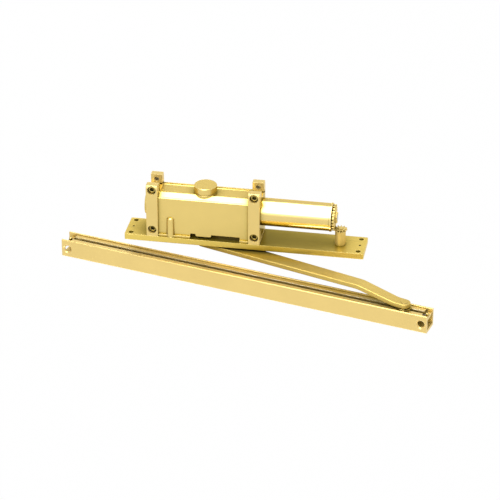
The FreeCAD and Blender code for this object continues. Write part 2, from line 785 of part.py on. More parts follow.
def pinion_gear(height):
    """Toothed cylinder with involute flanks, a tooth space centred on +Y, standing on the XY plane."""
    teeth = round(number("gear_teeth"))
    pitch = number("pitch_radius")
    tip = number("tip_radius")
    root = number("gear_root")
    pressure = math.radians(number("pressure_angle"))
    base = pitch * math.cos(pressure)
    half_tooth = math.pi / (2 * teeth) - number("backlash") / (2 * pitch)
    flank_count = 6

    def flank_angle(radius):
        return half_tooth + involute(pressure) - involute(math.acos(min(1.0, base / radius)))

    def point(radius, angle):
        return Vector(radius * math.cos(angle), radius * math.sin(angle), 0)

    start = max(base, root)
    radii = [start + (tip - start) * i / (flank_count - 1) for i in range(flank_count)]
    edges = []
    for tooth in range(teeth):
        middle = math.pi / 2 + (tooth + 0.5) * 2 * math.pi / teeth
        following = middle + 2 * math.pi / teeth
        rising = Part.BSplineCurve()
        rising.interpolate([point(r, middle - flank_angle(r)) for r in radii])
        falling = Part.BSplineCurve()
        falling.interpolate([point(r, middle + flank_angle(r)) for r in reversed(radii)])
        low_left = point(root, middle - flank_angle(start))
        low_right = point(root, middle + flank_angle(start))
        next_low = point(root, following - flank_angle(start))
        edges.append(Part.LineSegment(low_left, point(start, middle - flank_angle(start))).toShape())
        edges.append(rising.toShape())
        edges.append(Part.Arc(point(tip, middle - flank_angle(tip)), point(tip, middle),
                              point(tip, middle + flank_angle(tip))).toShape())
        edges.append(falling.toShape())
        edges.append(Part.LineSegment(point(start, middle + flank_angle(start)), low_right).toShape())
        edges.append(Part.Arc(low_right, point(root, middle + math.pi / teeth), next_low).toShape())
    outline = Part.Wire(Part.__sortEdges__(edges))
    return Part.Face(outline).extrude(Vector(0, 0, height))


def square_bar(half):
    """Square bar about the pivot axis, as tall as the lever arm is thick."""
    side = (f"0 - ({half})", half)
    return extruded("XY_Plane", [
        (side[0], side[0]), (side[1], side[0]), (side[1], side[1]), (side[0], side[1]),
    ], "arm_thick", base="arm_low")


def make_pinion_shaft():
    """Pinion with its two journals, and a square lower end for the lever arm."""
    gear = solid_feature(pinion_gear(number("tooth_face")), "pinion_x", "0", "axis_height - tooth_face / 2")
    lower = cylinder("journal_low_dia", "axis_height - arm_top", "pinion_x", "0", "arm_top")
    upper = cylinder("journal_top_dia", "boss_top + cap_pocket - journal_end_gap - axis_height",
                     "pinion_x", "0", "axis_height")
    square = in_arm_frame(square_bar("square_flats / 2"))
    thread = cylinder("arm_screw_dia", "arm_screw_reach + thread_stop", "pinion_x", "0", "arm_low")
    node(cut(fuse(gear, lower, upper, square), thread), "pinion_shaft")


def rack_teeth():
    """Row of rack teeth on the window's rear wall, pointing at the pinion, one centred on its axis."""
    module = number("gear_module")
    pitch = math.pi * module
    slope = math.tan(math.radians(number("pressure_angle")))
    half = pitch / 4 - number("backlash") / 4
    root = number("rack_root")
    line = number("pitch_radius")
    tip = line - module
    overlap = number("side_gap")
    reach = number("piston_travel") + number("pitch_radius")
    face = number("tooth_face")
    low = number("axis_height") - face / 2
    centre = number("pinion_x")
    teeth = []
    for index in range(-int(reach // pitch), int(number("pitch_radius") // pitch) + 1):
        x = centre + index * pitch
        wide = half + (root - line) * slope
        narrow = half - (line - tip) * slope
        corners = [
            Vector(x - wide, root, low), Vector(x - narrow, tip, low),
            Vector(x + narrow, tip, low), Vector(x + wide, root, low),
            Vector(x + wide, root + overlap, low), Vector(x - wide, root + overlap, low),
        ]
        face_shape = Part.Face(Part.makePolygon(corners + corners[:1]))
        teeth.append(face_shape.extrude(Vector(0, 0, face)))
    return solid_feature(Part.makeCompound(teeth))


def make_piston():
    """Piston with two heads, a window for the pinion and a rack along the window's rear wall."""
    heads = cylinder("piston_dia", "piston_right - piston_left", "piston_left", "0", "axis_height", ALONG_X)
    window = box(("piston_window_left", "piston_window_right"),
                 ("0 - window_reach", "rack_root"),
                 ("axis_height - bore_dia / 2", "axis_height + bore_dia / 2"))
    seat = cylinder("inner_dia + 2 * side_gap", "spring_seat", "piston_right - spring_seat", "0",
                    "axis_height", ALONG_X)
    groove = ring("bore_dia + seal_depth", "piston_dia - 2 * seal_depth", "piston_seal_width",
                  "piston_left + piston_seal_at", "0", "axis_height", ALONG_X)
    valve = cylinder("check_dia + 2 * run_gap", "check_length", "piston_left", "0", "axis_height", ALONG_X)
    blank = cut(heads, window, seat, groove, valve)
    rack = rack_teeth()
    bed = cylinder("piston_dia", "piston_right - piston_left", "piston_left", "0", "axis_height", ALONG_X)
    node(fuse(blank, common(rack, bed)), "piston")
    seal = ring("piston_dia", "piston_dia - 2 * seal_depth + 2 * run_gap", "piston_seal_width - 2 * run_gap",
                "piston_left + piston_seal_at + run_gap", "0", "axis_height", ALONG_X)
    node(seal, "piston_seal")
    insert = ring("check_dia", "check_hole_dia", "check_length", "piston_left", "0", "axis_height", ALONG_X)
    node(insert, "check_valve")


def coil(dia, wire, turns, length):
    """Helical spring up Z, its wire's centre line starting on the XY plane."""
    helix = Part.makeHelix(length / turns, length, (dia - wire) / 2)
    profile = Part.Wire(Part.Circle(Vector((dia - wire) / 2, 0, 0), Vector(0, 1, 0), wire / 2).toShape())
    return Part.Wire(helix).makePipeShell([profile], True, True)


def make_springs():
    """Closing springs, one inside the other, between the piston and the adjusting nut."""
    for label, name, left in (("main_spring", "spring", "piston_right + side_gap"),
                              ("inner_spring", "inner", "piston_right + side_gap - spring_seat")):
        dia, wire, turns = f"{name}_dia", f"{name}_wire", f"{name}_turns"
        length = number(f"nut_left - side_gap - ({left}) - {wire}")
        shape = coil(number(dia), number(wire), round(number(turns)), length)
        node(solid_feature(shape, f"{left} + {wire} / 2", "0", "axis_height", ALONG_X), label)


# Spring tube and adjuster

def make_tube():
    """Polished spring tube and the flanged cap that closes it."""
    tube = ring("tube_dia", "tube_bore", "tube_length", "case_right", "0", "axis_height", ALONG_X)
    node(tube, "spring_tube")
    cap = turned([
        ("adjust_dia / 2 + run_gap", "0 - cap_skirt"), ("tube_bore / 2 - run_gap", "0 - cap_skirt"),
        ("tube_bore / 2 - run_gap", "0"), ("cap_flange_dia / 2", "0"),
        ("cap_flange_dia / 2", "cap_flange_thick - cap_flange_edge"),
        ("cap_flange_dia / 2 - cap_flange_edge", "cap_flange_thick"),
        ("adjust_dia / 2 + run_gap", "cap_flange_thick"),
    ], "tube_end", "0", "axis_height", ALONG_X)
    node(cap, "tube_end_cap")


def toothed_disc(tip_dia, root_dia, teeth, tooth_width, taper, thick):
    """Stamped disc with straight teeth, one pointing along -X, each narrowed by the taper at its tip."""
    tip, root = tip_dia / 2, root_dia / 2
    disc = Part.makeCylinder(root, thick)
    fingers = []
    for index in range(teeth):
        half = tooth_width / 2
        end = half - taper
        inside = root - tooth_width
        corners = [
            Vector(-inside, -half, 0), Vector(-tip, -end, 0), Vector(-tip, end, 0), Vector(-inside, half, 0),
        ]
        finger = Part.Face(Part.makePolygon(corners + corners[:1])).extrude(Vector(0, 0, thick))
        finger.rotate(Vector(), Vector(0, 0, 1), index * 360 / teeth)
        fingers.append(finger)
    return disc.multiFuse(fingers).removeSplitter()


def notched_disc(tip_dia, root_dia, teeth, slot, thick):
    """Stamped disc with straight slots cut in its rim, one pointing along +X."""
    tip, root = tip_dia / 2, root_dia / 2
    disc = Part.makeCylinder(tip, thick)
    slots = []
    for index in range(teeth):
        gap = Part.makeBox(tip, slot, thick, Vector(root, -slot / 2, 0))
        gap.rotate(Vector(), Vector(0, 0, 1), index * 360 / teeth)
        slots.append(gap)
    return disc.cut(Part.makeCompound(slots))


def make_adjuster():
    """Spring adjuster: slotted ring on a long screw, travelling nut, and the star wheel that turns it."""
    disc = notched_disc(number("ring_tip_dia"), number("ring_root_dia"), round(number("ring_teeth")),
                        number("slot_width"), number("ring_thick"))
    hole = cylinder("adjust_dia + 2 * run_gap", "ring_thick", "ring_left", "0", "axis_height", ALONG_X)
    wheel = solid_feature(disc, "ring_left", "0", "axis_height", ALONG_X)
    node(cut(wheel, hole), "ring_gear")
    stem, collar = "adjust_dia / 2", "adjust_dia / 2 + collar_out"
    collar_left, collar_right = "cap_end + run_gap - screw_start", "ring_left - run_gap - screw_start"
    tip = "ring_right + screw_end - screw_start"
    screw = turned([
        ("0", "0"), (stem, "0"), (stem, collar_left), (collar, collar_left), (collar, collar_right),
        (stem, collar_right), (stem, tip), ("0", tip),
    ], "screw_start", "0", "axis_height", ALONG_X)
    node(screw, "adjusting_screw")
    blank = hexagon("locknut_flats", "locknut_thick", "ring_right", "0", "axis_height", ALONG_X)
    thread = cylinder("adjust_dia + 2 * run_gap", "locknut_thick", "ring_right", "0", "axis_height", ALONG_X)
    node(cut(blank, thread), "ring_locknut")
    nut = ring("tube_bore - 2 * side_gap", "adjust_dia + 2 * run_gap", "nut_thick", "nut_left", "0",
               "axis_height", ALONG_X)
    node(nut, "adjusting_nut")
    star = toothed_disc(number("star_tip_dia"), number("star_root_dia"), round(number("star_teeth")),
                        number("finger_width"), number("finger_taper"), number("star_thick"))
    bore = cylinder("adjust_shaft_dia + 2 * run_gap", "star_thick", "star_x", "0", "star_low")
    node(cut(solid_feature(star, "star_x", "0", "star_low"), bore), "star_wheel")
    shaft = cylinder("adjust_shaft_dia", "star_low + star_thick + star_shaft_end - plate_low",
                     "star_x", "0", "plate_low")
    key = hexagon("hex_flats", "key_depth", "star_x", "0", "plate_low")
    node(cut(shaft, key), "star_shaft")
    post = ring("post_dia", "adjust_shaft_dia + 2 * run_gap", "post_top", "star_x", "0", "0")
    node(post, "adjuster_post")


# Lever arm and its fixings

def make_arm():
    """Tapered flat lever, stepped down near its end to reach over the track."""
    plan = extruded("XY_Plane", [
        ("0", "0 - arm_root_width / 2"), ("arm_length", "0 - arm_end_width / 2"),
        ("arm_length", "arm_end_width / 2"), ("0", "arm_root_width / 2"),
    ], "joggle_drop + arm_thick")
    place(plan, z="end_low")
    root = cylinder("arm_root_width", "joggle_drop + arm_thick", "0", "0", "end_low")
    tip = cylinder("arm_end_width", "joggle_drop + arm_thick", "arm_length", "0", "end_low")
    side = extruded("XZ_Plane", [
        ("0 - arm_root_width", "arm_low"), ("joggle_start - joggle_lead", "arm_low"),
        ("joggle_end - joggle_lead", "end_low"), ("arm_length + arm_root_width", "end_low"),
        ("arm_length + arm_root_width", "end_top"),
        ("joggle_end", "end_top"), ("joggle_start", "arm_top"), ("0 - arm_root_width", "arm_top"),
    ], "2 * arm_root_width", centred=True)

    def on_bend(edge):
        middle = edge.CenterOfMass
        across = abs(middle.y) < TOUCH and edge.BoundBox.XLength < TOUCH
        first, last = number("joggle_start - 2 * joggle_lead"), number("joggle_end + joggle_lead")
        return across and first < middle.x < last

    def on_outline(edge):
        crosses = edge.BoundBox.XLength < TOUCH or abs(edge.CenterOfMass.y) < TOUCH
        return not is_upright(edge) and not crosses

    bent = round_edges(side, "joggle_round", on_bend)
    blade = common(fuse(plan, root, tip), bent)
    lever = round_edges(blade, "arm_edge", on_outline)
    square = square_bar("square_flats / 2 + run_gap")
    stud_hole = cylinder("stud_dia + 2 * run_gap", "arm_thick", "arm_length", "0", "end_low")
    seat_low = "end_top - rivet_depth"
    rivet_seat = cylinder("rivet_dia + 2 * run_gap", "rivet_depth", "arm_length", "0", seat_low)
    node(in_arm_frame(cut(lever, square, stud_hole, rivet_seat)), "lever_arm")


def make_arm_fixings():
    """Screw and washer under the pinion, and the stud that carries the roller."""
    washer = ring("arm_washer_dia", "arm_screw_dia + 2 * run_gap", "arm_washer_thick", "pinion_x", "0",
                  "washer_low")
    node(washer, "arm_washer")
    blank = turned([
        ("0", "0 - arm_screw_head"), ("arm_screw_head_dia / 2 - arm_screw_bevel", "0 - arm_screw_head"),
        ("arm_screw_head_dia / 2", "arm_screw_bevel - arm_screw_head"), ("arm_screw_head_dia / 2", "0"),
        ("arm_screw_dia / 2 - run_gap", "0"), ("arm_screw_dia / 2 - run_gap", "arm_screw_reach"),
        ("0", "arm_screw_reach"),
    ], "pinion_x", "0", "washer_low")
    socket = hexagon("arm_screw_key", "arm_screw_key_depth", "pinion_x", "0", "washer_low - arm_screw_head")
    node(cut(blank, socket), "arm_screw")
    shoulder, seat, tip = "stud_low + stud_head_thick", "end_top - rivet_depth", "end_top + stud_proud"
    stud = turned([
        ("0", "stud_low"), ("stud_head_dia / 2", "stud_low"), ("stud_head_dia / 2", shoulder),
        ("stud_dia / 2", shoulder), ("stud_dia / 2", seat), ("rivet_dia / 2", seat), ("rivet_dia / 2", tip),
        ("0", tip),
    ], "roller_x", "roller_y", "0")
    node(stud, "roller_stud")


def make_track_runners():
    """Glide washer on the track's lips, roller inside the channel and retainer washer below."""
    bore = "stud_dia + 2 * run_gap"
    stack = (("glide_washer", "glide_dia", "glide_low", "glide_top"),
             ("track_roller", "roller_dia", "roller_low", "roller_top"),
             ("retainer_washer", "retainer_dia", "retainer_low", "retainer_top"))
    for label, dia, low, top in stack:
        node(ring(dia, bore, f"{top} - ({low})", "roller_x", "roller_y", low), label)


# Slide track

def make_track():
    """Channel with rounded rims and screw holes in its walls, and two shorter guide rails."""
    half = [
        ("track_width / 2", "0 - track_height"), ("track_width / 2", "0"), ("track_inside / 2", "0"),
        ("track_inside / 2", "floor_thick - track_height"),
    ]
    section = half + [(f"0 - {y}", z) for y, z in reversed(half)]
    bar = place(extruded("YZ_Plane", section, "track_length"), x="track_left")

    def is_long(edge):
        return edge.BoundBox.XLength > number("track_length") / 2

    def on_outer_corner(edge):
        return is_long(edge) and abs(abs(edge.CenterOfMass.y) - number("track_width / 2")) < TOUCH

    def on_inner_rim(edge):
        middle = edge.CenterOfMass
        on_top = is_long(edge) and abs(middle.z) < TOUCH
        return on_top and abs(abs(middle.y) - number("track_inside / 2")) < TOUCH

    channel = round_edges(round_edges(bar, "track_edge", on_outer_corner), "rim_edge", on_inner_rim)
    tools = []
    near, level = "0 - track_width / 2", "0 - end_hole_depth"
    for x in ("track_left + end_hole_inset", "track_right - end_hole_inset"):
        tools.append(cylinder("end_hole_dia", "track_width / 2", x, near, level, ALONG_Y))
        sink = doc.addObject("Part::Cone", "countersink")
        bind(sink, Radius1="end_sink_dia / 2", Radius2="end_hole_dia / 2", Height="end_sink_depth")
        tools.append(place(sink, x, near, level, ALONG_Y))
        tools.append(cylinder("screw_hole_dia", "track_width / 2", x, "0", level, ALONG_Y))
    node(in_track_frame(cut(channel, *tools)), "track_channel")
    rails = []
    for y in (("0 - track_inside / 2", "0 - track_slot / 2"), ("track_slot / 2", "track_inside / 2")):
        z = ("0 - ledge_depth - ledge_thick", "0 - ledge_depth")
        rails.append(box(("rail_left", "rail_right"), y, z))
    node(in_track_frame(group(*rails)), "track_rails")


def make_track_stops():
    """End stops between the walls with their screws, nut plates below and rubber bumpers."""
    blocks, screws, clamps, bumpers = [], [], [], []
    width = ("0 - track_inside / 2", "track_inside / 2")
    top, head_top = "0 - stop_depth", "stop_head_high - stop_depth"
    low, foot = "0 - stop_depth - stop_high", "0 - stop_depth - stop_high - clamp_thick"
    left_end, right_end = "rail_left - stop_back", "rail_right + stop_back"
    ends = ((f"{left_end} - stop_length", left_end, left_end),
            (right_end, f"{right_end} + stop_length", f"{right_end} - bumper_length"))
    for left, right, bumper_left in ends:
        middle = f"({left} + {right}) / 2"
        hole = cylinder("stop_screw_dia + 2 * run_gap", "stop_high", middle, "0", low)
        blocks.append(cut(box((left, right), width, (low, top)), hole))
        screws.append(cut(
            turned([
                ("0", foot), ("stop_screw_dia / 2", foot), ("stop_screw_dia / 2", top),
                ("stop_head_dia / 2", top),
                ("stop_head_dia / 2", f"{head_top} - stop_head_bevel"),
                ("stop_head_dia / 2 - stop_head_bevel", head_top), ("0", head_top),
            ], middle),
            hexagon("stop_key", "stop_key_depth", middle, "0", f"{head_top} - stop_key_depth"),
        ))
        reach = "track_slot / 2 + clamp_over"
        plate = box((left, right), (f"0 - ({reach})", reach), (foot, low))
        thread = cylinder("stop_screw_dia + 2 * run_gap", "clamp_thick", middle, "0", foot)
        clamps.append(cut(plate, thread))
        bumpers.append(cylinder("bumper_dia", "bumper_length", bumper_left, "0",
                                f"{top} - bumper_dia / 2", ALONG_X))
    for label, items in (("track_stops", blocks), ("stop_screws", screws),
                         ("stop_clamps", clamps), ("track_bumpers", bumpers)):
        node(in_track_frame(group(*items)), label)


def check_document():
    """Stops the build if any object failed or any sub-part has no sound shape."""
    doc.recompute()
    failed = [item.Name for item in doc.Objects if "Invalid" in item.State or "Error" in item.State]
    if failed:
        raise RuntimeError("objects that failed: " + ", ".join(failed))
    for item in nodes:
        if item.Shape.isNull() or not item.Shape.isValid() or not item.Shape.Solids:
            raise RuntimeError("no sound shape for " + item.Label)


def write_parts():
    """Writes one file for each sub-part."""
    os.makedirs("parts", exist_ok=True)
    for item in nodes:
        item.Shape.exportStep(f"parts/{item.Label}.step")
        print(f"{item.Label}: {len(item.Shape.Solids)} solid, {item.Shape.Volume:.1f} mm3")


make_plate()
make_bracket("left_bracket", "case_left", "lug_left_x")
make_bracket("right_bracket", "case_right - lug_width", "lug_right_x")
make_bracket_screws()
make_saddle_screws()
make_casting()
make_valves()
make_end_plug()
make_pinion_cap()
make_lower_bearing()
make_pinion_shaft()
make_piston()
make_springs()
make_tube()
make_adjuster()
make_arm()
make_arm_fixings()
make_track_runners()
make_track()
make_track_stops()
check_document()
write_parts()
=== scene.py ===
"""Looks of the concealed overhead door closer: gold lacquer finishes, springs, studio light and camera."""
import json
import math

import bpy
from mathutils import Matrix, Vector


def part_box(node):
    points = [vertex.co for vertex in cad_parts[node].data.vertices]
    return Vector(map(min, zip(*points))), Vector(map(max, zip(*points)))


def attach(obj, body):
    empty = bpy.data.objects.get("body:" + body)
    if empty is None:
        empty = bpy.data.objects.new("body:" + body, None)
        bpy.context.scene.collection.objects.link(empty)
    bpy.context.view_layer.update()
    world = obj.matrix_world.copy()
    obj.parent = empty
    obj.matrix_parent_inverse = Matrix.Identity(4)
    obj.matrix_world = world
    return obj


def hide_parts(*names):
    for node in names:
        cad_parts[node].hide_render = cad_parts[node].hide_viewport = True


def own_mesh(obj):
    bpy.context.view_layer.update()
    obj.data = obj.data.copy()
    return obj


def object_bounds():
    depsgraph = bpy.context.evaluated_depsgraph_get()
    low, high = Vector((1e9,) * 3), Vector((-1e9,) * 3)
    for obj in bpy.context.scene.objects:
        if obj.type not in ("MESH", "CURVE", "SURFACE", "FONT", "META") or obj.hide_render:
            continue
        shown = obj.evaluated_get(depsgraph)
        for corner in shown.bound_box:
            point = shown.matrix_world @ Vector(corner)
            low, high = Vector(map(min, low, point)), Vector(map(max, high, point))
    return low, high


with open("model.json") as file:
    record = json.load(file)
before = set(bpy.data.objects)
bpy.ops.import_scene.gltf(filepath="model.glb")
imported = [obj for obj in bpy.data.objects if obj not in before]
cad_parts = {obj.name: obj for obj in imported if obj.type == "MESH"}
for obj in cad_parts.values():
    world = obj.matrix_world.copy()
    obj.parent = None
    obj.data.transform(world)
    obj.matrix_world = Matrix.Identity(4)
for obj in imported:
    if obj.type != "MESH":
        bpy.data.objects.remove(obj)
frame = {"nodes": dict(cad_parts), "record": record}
cad_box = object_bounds()

# Camera fitted to the photograph, in metres, degrees and pixels
PHOTO_SIZE = 500
FOCAL_PIXELS = 2515.5
SENSOR_WIDTH = 36.0
CAMERA_PLACE = (0.56923, -3.18588, 1.80446)
CAMERA_PITCH = 29.472
CAMERA_YAW = 10.028

# Directions on the object
TRACK_YAW = math.radians(-12.95)
ARM_YAW = math.radians(-19.7)

# Painted shade that darkens the gold in corners and hollows, from ambient occlusion: reach in metres,
# openness where it starts and where it is full
WIDE_SHADE = (0.08, 0.95, 0.45)
LINE_SHADE = (0.002, 0.80, 0.40)
DEEP_SHADE = (0.007, 0.60, 0.28)
NEAR_SHADE = (0.025, 0.80, 0.10)
FAINT_SHADE = (0.012, 0.45, 0.05)
FINE_SHADE = (0.0012, 0.70, 0.30)
BODY_HOLLOW_SHADE = (0.005, 0.45, 0.15)
SMALL_HOLLOW_SHADE = (0.004, 0.42, 0.10)
TINY_HOLLOW_SHADE = (0.0025, 0.30, 0.05)
PLATE_SHADE = (0.06, 0.93, 0.55)
SHADE_SAMPLES = 16
# Painted shade colour: the gold multiplied by this olive tint
PAINTED_SHADE_TINT = (0.34, 0.34, 0.13)
# Painted shade in hollows: near black, with the metal shine and some gloss taken away
HOLLOW_SHADE_COLOUR = (0.02, 0.015, 0.005, 1.0)
DEEP_DULLNESS = 0.5
GOLD_GLINT = (1.0, 0.86, 0.5, 1.0)
STEEL_GLINT = (1.0, 1.0, 1.0, 1.0)

# Surface detail of the metals: stretches of a brushed grain, scales per metre and shader levels
EVEN_GRAIN = (1, 1, 1)
ALONG_BAR = (0.05, 1, 1)
ALONG_TUBE = (0.04, 1, 1)
MOTTLE_SCALE, MOTTLE_DETAIL = 26.0, 4.0
GRAIN_DETAIL = 2.0
GLOSS_SPREAD = 0.03
GRAIN_STRENGTH = 0.15
COAT_LEVEL = 0.15
EDGE_SAMPLES = 6
EDGE_FULL_AT, EDGE_STARTS_AT = 0.82, 0.99

# Surface detail of the rubber
RUBBER_TONE_SCALE = 180.0
RUBBER_TONES = (0.8, 1.3)
PIT_SCALE, PIT_DETAIL = 2200.0, 2.0
PIT_STRENGTH, PIT_DEPTH = 0.3, 0.00005
RUBBER_ROUGHNESS = (0.55, 0.75)

# Coil springs: wire in metres and number of turns
MAIN_SPRING = (0.0042, 12)
INNER_SPRING = (0.0026, 17)
CLOSED_TURNS = 1.0
CLOSED_PITCH = 1.02
STEPS_PER_TURN = 40
WIRE_SIDES = 14

# Studio
FLOOR_DROP = 0.6
FLOOR_SIZE = 30.0
FLOOR_COLOUR = (0.9, 0.9, 0.9, 1.0)
FLOOR_ROUGHNESS = 0.9
FLOOR_GLOW = 0.97
WHITE = (1.0, 1.0, 1.0, 1.0)
SWEEP_RADIUS = 2.6
SWEEP_HALF_WIDTH = 0.85
SWEEP_CENTRE = (-0.40, 0.0, 0.0)
SWEEP_STEP = 1.0
# Angle from the zenith towards the camera side, in degrees, and brightness of the light panel there
SWEEP_STOPS = ((-97, 0.85), (-33, 0.85), (-25, 6.5), (62, 6.5), (76, 1.6), (92, 1.0), (105, 1.0))
BACK_CARD_STOPS = ((-100, 5.0), (-79, 5.0), (-71, 0.85))
BACK_CARD_RADIUS = 2.5
BACK_CARD_HALF_WIDTH = 0.45
BACK_CARD_CENTRE = (-0.85, 0.0, 0.0)
FRONT_CARD_STOPS = ((150, 1.0), (157, 5.0), (172, 5.0))
FRONT_CARD_RADIUS = 0.55
FRONT_CARD_HALF_WIDTH = 0.6
FRONT_CARD_CENTRE = (0.0, 0.0, 0.0)


# Materials

def new_material(name):
    """Node material with its shader and an output, and nothing else."""
    material = bpy.data.materials.new(name)
    material.use_nodes = True
    tree = material.node_tree
    tree.nodes.clear()
    output = tree.nodes.new("ShaderNodeOutputMaterial")
    shader = tree.nodes.new("ShaderNodeBsdfPrincipled")
    tree.links.new(shader.outputs["BSDF"], output.inputs["Surface"])
    return material, tree, shader


def scaled(colour, share):
    """Colour made darker or lighter, with full opacity."""
    return tuple(min(1.0, channel * share) for channel in colour) + (1.0,)


def coordinates(tree, stretch=(1, 1, 1), yaw=0.0):
    """Object coordinates, turned about Z and stretched, so that a grain runs along a bar."""
    source = tree.nodes.new("ShaderNodeTexCoord")
    turn = tree.nodes.new("ShaderNodeMapping")
    turn.inputs["Rotation"].default_value = (0, 0, -yaw)
    tree.links.new(source.outputs["Object"], turn.inputs["Vector"])
    scale = tree.nodes.new("ShaderNodeMapping")
    scale.inputs["Scale"].default_value = stretch
    tree.links.new(turn.outputs["Vector"], scale.inputs["Vector"])
    return scale.outputs["Vector"]


def noise(tree, vector, scale, detail=3.0):
    """Noise between 0 and 1 in object space."""
    node = tree.nodes.new("ShaderNodeTexNoise")
    node.inputs["Scale"].default_value = scale
    node.inputs["Detail"].default_value = detail
    tree.links.new(vector, node.inputs["Vector"])
    return node.outputs["Fac"]


def spread(tree, value, low, high, from_low=0.3, from_high=0.7):
    """Maps a range of a value, by default a noise's middle, onto low to high."""
    node = tree.nodes.new("ShaderNodeMapRange")
    node.inputs["From Min"].default_value = from_low
    node.inputs["From Max"].default_value = from_high
    node.inputs["To Min"].default_value = low
    node.inputs["To Max"].default_value = high
    tree.links.new(value, node.inputs["Value"])
    return node.outputs["Result"]


def blend_colours(tree, factor, first, second):
    """Colour between two, by a factor socket."""
    node = tree.nodes.new("ShaderNodeMix")
    node.data_type = "RGBA"
    for name, colour in (("A", first), ("B", second)):
        socket = [s for s in node.inputs if s.name == name and s.type == "RGBA"][0]
        if isinstance(colour, tuple):
            socket.default_value = colour
        else:
            tree.links.new(colour, socket)
    factor_socket = [s for s in node.inputs if s.name == "Factor" and s.type == "VALUE"][0]
    tree.links.new(factor, factor_socket)
    return [s for s in node.outputs if s.type == "RGBA"][0]


def edge_mask(tree, radius):
    """Value that rises from 0 on flat faces to 1 on sharp corners, and the normal that rounds them."""
    bevel = tree.nodes.new("ShaderNodeBevel")
    bevel.samples = EDGE_SAMPLES
    bevel.inputs["Radius"].default_value = radius
    geometry = tree.nodes.new("ShaderNodeNewGeometry")
    dot = tree.nodes.new("ShaderNodeVectorMath")
    dot.operation = "DOT_PRODUCT"
    tree.links.new(bevel.outputs["Normal"], dot.inputs[0])
    tree.links.new(geometry.outputs["Normal"], dot.inputs[1])
    mask = spread(tree, dot.outputs["Value"], 1.0, 0.0, EDGE_FULL_AT, EDGE_STARTS_AT)
    return mask, bevel.outputs["Normal"]


def crowding(tree, reach, open_at, closed_at):
    """Mask for painted shade: rises from 0 in the open to 1 where other surfaces crowd in within a reach."""
    node = tree.nodes.new("ShaderNodeAmbientOcclusion")
    node.samples = SHADE_SAMPLES
    node.inputs["Distance"].default_value = reach
    return spread(tree, node.outputs["AO"], 1.0, 0.0, closed_at, open_at)


def tinted(colour, tint):
    """Colour multiplied by another, with full opacity."""
    return tuple(channel * share for channel, share in zip(colour, tint)) + (1.0,)


def paled(colour, share):
    """Colour moved towards white, with full opacity."""
    return tuple(channel + (1 - channel) * share for channel in colour) + (1.0,)


def metal(name, colour, gloss, metallic, grain=EVEN_GRAIN, yaw=0.0, grain_scale=300.0, grain_depth=0.00001,
          edge=0.0006, edge_highlight_share=0.15, mottle=0.025, wide=WIDE_SHADE, line=LINE_SHADE, deep=DEEP_SHADE,
          glint=GOLD_GLINT):
    """Lacquered or plated metal: mottle, fine grain, painted highlight on edges, painted shade in corners and
    hollows.
    """
    material, tree, shader = new_material(name)
    shader.inputs["Specular IOR Level"].default_value = COAT_LEVEL
    shader.inputs["Specular Tint"].default_value = glint
    plain = coordinates(tree)
    along = coordinates(tree, grain, yaw)
    tone = spread(tree, noise(tree, plain, MOTTLE_SCALE, MOTTLE_DETAIL), 0.0, 1.0)
    base = blend_colours(tree, tone, scaled(colour, 1 - mottle), scaled(colour, 1 + mottle))
    # Painted highlight: sharp edges paled towards white, besides the rounded normal for the gloss
    painted_edge_highlight, rounded = edge_mask(tree, edge)
    base = blend_colours(tree, painted_edge_highlight, base, paled(colour, edge_highlight_share))
    # Painted shade: the gold turns olive where other surfaces crowd in
    for shade in (wide, line):
        base = blend_colours(tree, crowding(tree, *shade), base, tinted(colour, PAINTED_SHADE_TINT))
    # Painted shade in hollows: near black base, no metal, duller gloss
    hollow = crowding(tree, *deep)
    base = blend_colours(tree, hollow, base, HOLLOW_SHADE_COLOUR)
    tree.links.new(base, shader.inputs["Base Color"])
    tree.links.new(spread(tree, hollow, metallic, 0.0, 0.0, 1.0), shader.inputs["Metallic"])
    fine = noise(tree, along, grain_scale, GRAIN_DETAIL)
    dullness = tree.nodes.new("ShaderNodeMath")
    dullness.operation = "ADD"
    tree.links.new(spread(tree, fine, gloss - GLOSS_SPREAD, gloss + GLOSS_SPREAD), dullness.inputs[0])
    tree.links.new(spread(tree, hollow, 0.0, DEEP_DULLNESS, 0.0, 1.0), dullness.inputs[1])
    tree.links.new(dullness.outputs["Value"], shader.inputs["Roughness"])
    bump = tree.nodes.new("ShaderNodeBump")
    bump.inputs["Strength"].default_value = GRAIN_STRENGTH
    bump.inputs["Distance"].default_value = grain_depth
    tree.links.new(fine, bump.inputs["Height"])
    tree.links.new(rounded, bump.inputs["Normal"])
    tree.links.new(bump.outputs["Normal"], shader.inputs["Normal"])
    return material


def rubber(name, colour):
    """Moulded rubber: dull, with a fine pitted skin."""
    material, tree, shader = new_material(name)
    plain = coordinates(tree)
    tone = spread(tree, noise(tree, plain, RUBBER_TONE_SCALE), 0.0, 1.0)
    dark, light = (scaled(colour, share) for share in RUBBER_TONES)
    tree.links.new(blend_colours(tree, tone, dark, light), shader.inputs["Base Color"])
    pits = noise(tree, plain, PIT_SCALE, PIT_DETAIL)
    tree.links.new(spread(tree, pits, *RUBBER_ROUGHNESS), shader.inputs["Roughness"])
    bump = tree.nodes.new("ShaderNodeBump")
    bump.inputs["Strength"].default_value = PIT_STRENGTH
    bump.inputs["Distance"].default_value = PIT_DEPTH
    tree.links.new(pits, bump.inputs["Height"])
    tree.links.new(bump.outputs["Normal"], shader.inputs["Normal"])
    return material


